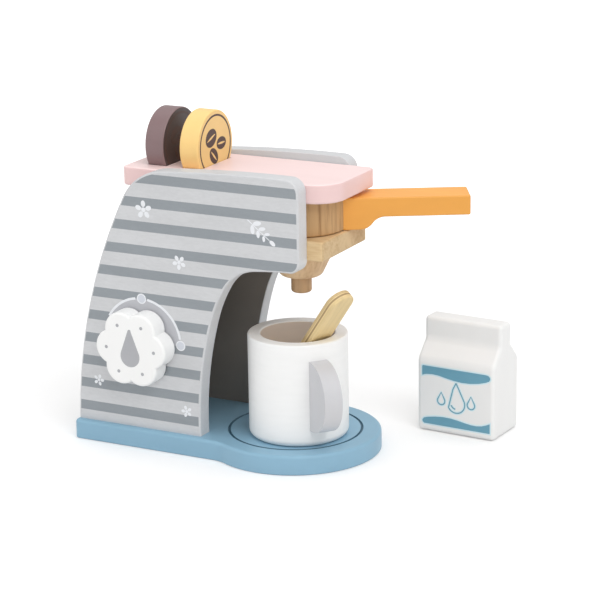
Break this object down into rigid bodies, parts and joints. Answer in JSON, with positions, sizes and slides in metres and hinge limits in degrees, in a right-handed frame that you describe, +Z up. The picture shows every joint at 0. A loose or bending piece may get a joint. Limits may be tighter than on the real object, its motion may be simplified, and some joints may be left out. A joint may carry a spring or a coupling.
{
  "type": "toy coffee maker",
  "caption": "Wooden toy coffee maker with striped side panels, swinging filter handle, drip funnel, lift-out pods, turning knob, mug, stirring spoon and milk carton.",
  "frame": {"origin": "middle of the round mug tray, on the underside of the base that rests on the table", "axes": "+X from the body towards the filter handle and the mug, +Z up, -Y towards the side with the knob"},
  "size_m": [0.2254, 0.1376, 0.1916],
  "materials": {
    "blue_paint": "smooth satin paint on wood",
    "grey_paint": "smooth matte paint on wood, printed with darker grey stripes",
    "pink_paint": "smooth matte paint on wood",
    "pale_wood": "bare wood, sanded",
    "brown_wood": "bare darker wood, sanded",
    "orange_paint": "smooth satin paint on wood",
    "white_paint": "smooth satin paint on wood",
    "grey_handle_paint": "smooth satin paint on wood",
    "caramel_paint": "smooth satin paint on wood, printed in dark brown",
    "espresso_paint": "smooth satin paint on wood, printed in dark brown",
    "plywood": "bare light plywood, sanded",
    "carton_paint": "smooth satin paint on wood, printed in blue",
    "screw_steel": "plain steel",
    "washer_plastic": "matte"
  },
  "bodies": {
    "machine": {"base_plate": "blue_paint", "near_side_panel": "grey_paint", "far_side_panel": "grey_paint", "rear_board": "pale_wood", "top_plate": "pink_paint", "funnel_slab": "pale_wood", "funnel_cone": "pale_wood", "spout_dowel": "brown_wood", "panel_dowels": "pale_wood", "base_screws": "screw_steel"},
    "filter": {"filter_drum": "brown_wood", "filter_handle": "orange_paint", "handle_dowel": "pale_wood"},
    "dial": {"knob": "white_paint", "knob_axle": "pale_wood", "knob_washer": "washer_plastic", "knob_retainer": "pale_wood"},
    "front_pod": {"pod_caramel": "caramel_paint"},
    "rear_pod": {"pod_espresso": "espresso_paint"},
    "mug": {"mug_body": "white_paint", "mug_handle": "grey_handle_paint", "mug_dowels": "pale_wood"},
    "stirrer": {"spoon": "plywood"},
    "carton": {"milk_carton": "carton_paint"}
  },
  "joints": [
    {"name": "filter_swing", "type": "hinge", "parent": "machine", "child": "filter", "pos_m": [0.0052, 0, 0.141], "axis": [0, 0, 1], "range_deg": [-65, 6]},
    {"name": "dial_turn", "type": "hinge", "parent": "machine", "child": "dial", "pos_m": [-0.0784, -0.044, 0.0614], "axis": [0, -1, 0], "continuous": true},
    {"name": "front_pod_lift", "type": "slide", "parent": "machine", "child": "front_pod", "axis": [0, 0, 1], "range_m": [0, 0.03]},
    {"name": "rear_pod_lift", "type": "slide", "parent": "machine", "child": "rear_pod", "axis": [0, 0, 1], "range_m": [0, 0.03]},
    {"name": "mug_draw", "type": "slide", "parent": "machine", "child": "mug", "axis": [1, 0, 0], "range_m": [0, 0.09]},
    {"name": "spoon_lift", "type": "slide", "parent": "mug", "child": "stirrer", "axis": [0.5738, -0.2032, 0.7934], "range_m": [0, 0.035]},
    {"name": "carton_lift", "type": "slide", "parent": "machine", "child": "carton", "axis": [0, 0, 1], "range_m": [0, 0.06]}
  ]
}
